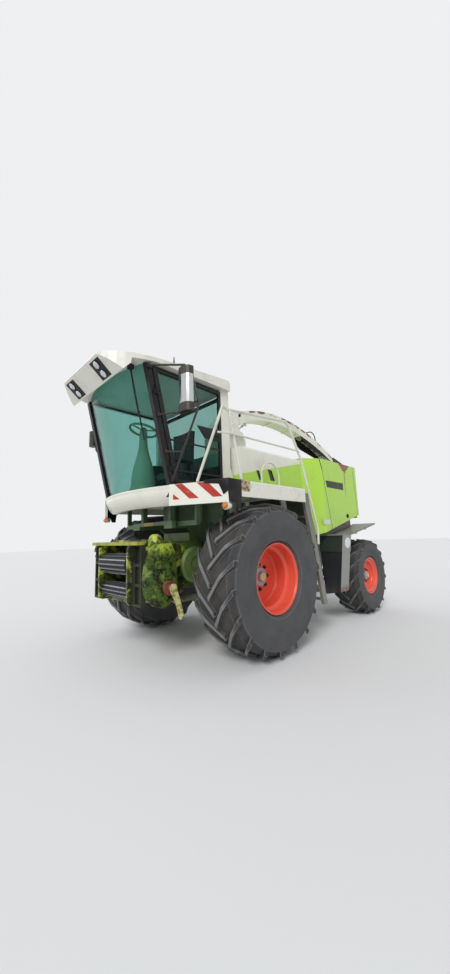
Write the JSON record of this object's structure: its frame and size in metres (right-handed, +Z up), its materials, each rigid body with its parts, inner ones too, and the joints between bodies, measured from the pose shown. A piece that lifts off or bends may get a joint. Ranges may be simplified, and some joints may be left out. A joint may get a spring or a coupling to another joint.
{
  "type": "forage harvester",
  "caption": "Self-propelled forage harvester: glazed cab over a tilting roll feed unit, large front drive wheels, steered rear wheels, crop tower with a slewing and lifting discharge spout.",
  "frame": {"origin": "on the ground under the middle of the bounding box", "axes": "+X forward, +Y to the machine's left, +Z up; at rest the wheels point straight ahead and the spout lies rearward"},
  "size_m": [6.684, 3, 3.821],
  "materials": {
    "cream": "worn gloss cream-white paint",
    "lime": "gloss lime-green paint",
    "feed_green": "dirty yellow-green paint",
    "dark_green": "dull dark green paint",
    "black": "satin black paint",
    "grey": "matt grey paint",
    "red": "gloss red paint",
    "tyre": "dusty black rubber",
    "glass": "green-tinted glass",
    "bright": "polished by crop",
    "iron": "dirty casting",
    "plastic": "dark matt plastic",
    "amber": "orange lamp lens"
  },
  "bodies": {
    "chassis": {"main_frame": "dark_green", "front_axle": "iron", "rear_axle": "iron", "steer_barrel": "black", "chopper_housing": "feed_green", "cab_shell": "black", "cab_roof": "cream", "windscreen": "glass", "cab_glass": "glass", "seat": "plastic", "steering_column": "plastic", "front_fascia": "cream", "platforms": "cream", "handrails": "cream", "ladder": "grey", "upper_hood": "cream", "side_panels": "lime", "rear_cover": "lime", "engine_block": "iron", "side_boxes": "grey", "rear_mudguards": "grey", "mirrors": "plastic", "crop_tower": "cream", "tow_hitch": "iron", "rear_pillars": "cream", "roof_lamps": "plastic", "cab_fittings": "plastic", "corner_panels": "plastic", "lamps": "amber"},
    "knuckle_l": {"knuckle_left": "iron"},
    "knuckle_r": {"knuckle_right": "iron"},
    "track_rod": {"tie_rod": "iron"},
    "steer_ram": {"steer_rod": "bright"},
    "front_wheel_l": {"front_rim_left": "red", "front_tyre_left": "tyre"},
    "front_wheel_r": {"front_rim_right": "red", "front_tyre_right": "tyre"},
    "rear_wheel_l": {"rear_rim_left": "red", "rear_tyre_left": "tyre"},
    "rear_wheel_r": {"rear_rim_right": "red", "rear_tyre_right": "tyre"},
    "feed_unit": {"feed_housing": "feed_green", "feed_frame": "iron", "feed_drives": "feed_green"},
    "roll_upper": {"upper_feed_roll": "bright"},
    "roll_lower": {"lower_feed_roll": "bright"},
    "lift_barrel": {"lift_barrels": "black"},
    "lift_ram": {"lift_rods": "bright"},
    "door": {"cab_door": "black", "door_glass": "glass"},
    "spout_base": {"spout_turntable": "cream"},
    "spout": {"spout_arch": "cream", "spout_liner": "black", "flap_actuator": "black"},
    "flap": {"spout_flap": "black"},
    "spout_cylinder": {"spout_barrel": "black"},
    "spout_ram": {"spout_rod": "bright"}
  },
  "joints": [
    {"name": "front_wheel_left_spin", "type": "hinge", "parent": "chassis", "child": "front_wheel_l", "pos_m": [1.457, 1.175, 0.915], "axis": [0, 1, 0], "continuous": true},
    {"name": "front_wheel_right_spin", "type": "hinge", "parent": "chassis", "child": "front_wheel_r", "pos_m": [1.457, -1.175, 0.915], "axis": [0, 1, 0], "continuous": true},
    {"name": "steer_left", "type": "hinge", "parent": "chassis", "child": "knuckle_l", "pos_m": [-1.398, 1.05, 0.651], "axis": [0, 0, 1], "range_deg": [-38, 38]},
    {"name": "steer_right", "type": "hinge", "parent": "chassis", "child": "knuckle_r", "pos_m": [-1.398, -1.05, 0.651], "axis": [0, 0, 1], "range_deg": [-38, 38]},
    {"name": "rear_wheel_left_spin", "type": "hinge", "parent": "knuckle_l", "child": "rear_wheel_l", "pos_m": [-1.398, 1.17, 0.651], "axis": [0, 1, 0], "continuous": true},
    {"name": "rear_wheel_right_spin", "type": "hinge", "parent": "knuckle_r", "child": "rear_wheel_r", "pos_m": [-1.398, -1.17, 0.651], "axis": [0, 1, 0], "continuous": true},
    {"name": "tie_rod_pivot", "type": "hinge", "parent": "knuckle_l", "child": "track_rod", "pos_m": [-1.528, 1.05, 0.651], "axis": [0, 0, 1], "range_deg": [-38, 38]},
    {"name": "steer_ram_slide", "type": "slide", "parent": "chassis", "child": "steer_ram", "axis": [0, 1, 0], "range_m": [-0.081, 0.081]},
    {"name": "feed_lift", "type": "hinge", "parent": "chassis", "child": "feed_unit", "pos_m": [1.907, 0, 1.08], "axis": [0, -1, 0], "range_deg": [-6, 12]},
    {"name": "upper_roll_spin", "type": "hinge", "parent": "feed_unit", "child": "roll_upper", "pos_m": [2.767, 0, 1.14], "axis": [0, 1, 0], "continuous": true},
    {"name": "lower_roll_spin", "type": "hinge", "parent": "feed_unit", "child": "roll_lower", "pos_m": [2.749, 0, 0.825], "axis": [0, 1, 0], "continuous": true},
    {"name": "lift_barrel_pivot", "type": "hinge", "parent": "chassis", "child": "lift_barrel", "pos_m": [1.627, 0, 0.64], "axis": [0, -1, 0], "range_deg": [-3.9, 7.8]},
    {"name": "lift_ram_slide", "type": "slide", "parent": "lift_barrel", "child": "lift_ram", "axis": [0.9999, 0, 0.012], "range_m": [-0.046, 0.092]},
    {"name": "cab_door_hinge", "type": "hinge", "parent": "chassis", "child": "door", "pos_m": [2.508, 0.815, 2.075], "axis": [-0.2243, 0, -0.9745], "range_deg": [0, 37]},
    {"name": "spout_slew", "type": "hinge", "parent": "chassis", "child": "spout_base", "pos_m": [0.837, 0, 3.13], "axis": [0, 0, 1], "range_deg": [-110, 110]},
    {"name": "spout_lift", "type": "hinge", "parent": "spout_base", "child": "spout", "pos_m": [0.597, 0, 3.6], "axis": [0, 1, 0], "range_deg": [0, 30]},
    {"name": "spout_flap_hinge", "type": "hinge", "parent": "spout", "child": "flap", "pos_m": [-2.813, 0, 3.243], "axis": [0, 1, 0], "range_deg": [-50, 10]},
    {"name": "spout_cylinder_pivot", "type": "hinge", "parent": "spout_base", "child": "spout_cylinder", "pos_m": [0.557, 0, 3.16], "axis": [0, 1, 0], "range_deg": [0, 15.23]},
    {"name": "spout_ram_slide", "type": "slide", "parent": "spout_cylinder", "child": "spout_ram", "axis": [-0.7341, 0, 0.679], "range_m": [0, 0.1637]}
  ],
  "couplings": [
    {"joint": "steer_right", "follows": "steer_left", "ratio": 1},
    {"joint": "tie_rod_pivot", "follows": "steer_left", "ratio": -1},
    {"joint": "steer_ram_slide", "follows": "steer_left", "m_per_rad": 0.1221},
    {"joint": "lift_barrel_pivot", "follows": "feed_lift", "ratio": 0.65},
    {"joint": "lift_ram_slide", "follows": "feed_lift", "m_per_rad": 0.4379},
    {"joint": "spout_cylinder_pivot", "follows": "spout_lift", "ratio": 0.5042},
    {"joint": "spout_ram_slide", "follows": "spout_lift", "m_per_rad": 0.3107}
  ]
}
